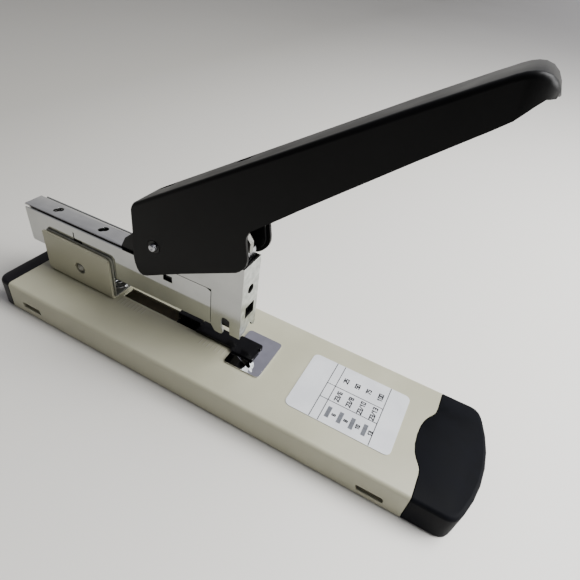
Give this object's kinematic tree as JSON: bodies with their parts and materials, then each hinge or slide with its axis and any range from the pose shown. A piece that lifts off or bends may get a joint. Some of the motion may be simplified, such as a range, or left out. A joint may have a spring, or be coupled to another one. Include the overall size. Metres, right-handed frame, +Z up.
{
  "type": "heavy duty stapler",
  "caption": "Desk stapler for thick stacks: steel base with paper stop and anvil, hinged plated magazine arm and a long black lever handle that drives the staple.",
  "frame": {"origin": "centre of the underside of the base, on the desk", "axes": "+X along the base from the rear cap to the nose, +Y across to the far side, +Z up"},
  "size_m": [0.2864, 0.0686, 0.184],
  "materials": {
    "base_paint": "satin beige-grey paint",
    "black_paint": "satin black powder coat",
    "black_plastic": "fine grain",
    "charcoal_plastic": "fine grain",
    "gloss_black": "glossy",
    "chrome": "bright plated",
    "steel": "plain plated steel",
    "spring_steel": "drawn wire",
    "rubber_mat": "matt",
    "label": "printed, silk"
  },
  "bodies": {
    "base": {"rubber_mat": "rubber_mat", "base_plate": "steel", "base_shell": "base_paint", "front_cap": "charcoal_plastic", "rear_cap": "black_plastic", "anvil_support": "steel", "anvil_plate": "chrome", "label_plate": "label", "rear_bracket": "base_paint", "inner_bracket": "chrome", "arm_pivot_pin": "steel", "bracket_rivet_1": "steel", "bracket_rivet_2": "steel", "return_spring": "spring_steel"},
    "stop": {"paper_stop": "gloss_black"},
    "arm": {"magazine_casing": "chrome", "top_cover": "chrome", "cover_spacer_1": "steel", "cover_spacer_2": "steel", "saddle": "black_paint", "saddle_rivet_1": "steel", "saddle_rivet_2": "steel", "head_frame": "chrome", "driver_guide": "steel", "handle_pivot_pin": "steel", "pivot_bush_1": "black_plastic", "pivot_bush_2": "black_plastic", "handle_spring": "spring_steel"},
    "tray": {"staple_rail": "steel", "rail_end_block": "black_plastic", "pusher_rod": "steel", "pusher_spring": "spring_steel", "staple_strip": "chrome"},
    "pusher": {"staple_pusher": "black_plastic"},
    "driver": {"driver_blade": "steel", "driver_yoke": "steel"},
    "handle": {"handle_shell": "black_paint", "handle_liner": "black_paint", "drive_bracket": "steel", "drive_pin": "steel"}
  },
  "joints": [
    {"name": "arm_hinge", "type": "hinge", "parent": "base", "child": "arm", "pos_m": [-0.099, 0, 0.0308], "axis": [0, 1, 0], "range_deg": [0, 7], "stiffness_Nm_per_rad": 3, "springref_deg": -28.65, "deforming": ["return_spring"]},
    {"name": "handle_hinge", "type": "hinge", "parent": "arm", "child": "handle", "pos_m": [-0.0416, 0, 0.0715], "axis": [0, 1, 0], "range_deg": [0, 22], "stiffness_Nm_per_rad": 0.8, "springref_deg": -45.84},
    {"name": "driver_slide", "type": "slide", "parent": "arm", "child": "driver", "axis": [0.014, 0, -0.9999], "range_m": [0, 0.017]},
    {"name": "tray_slide", "type": "slide", "parent": "arm", "child": "tray", "axis": [-0.9999, 0, -0.014], "range_m": [0, 0.1]},
    {"name": "pusher_slide", "type": "slide", "parent": "tray", "child": "pusher", "axis": [-0.9999, 0, -0.014], "range_m": [0, 0.05], "stiffness_N_per_m": 60, "springref_m": -0.06, "deforming": ["pusher_spring"]},
    {"name": "stop_slide", "type": "slide", "parent": "base", "child": "stop", "axis": [-1, 0, 0], "range_m": [0, 0.036]}
  ],
  "couplings": [
    {"joint": "driver_slide", "follows": "handle_hinge", "m_per_rad": 0.0438}
  ]
}
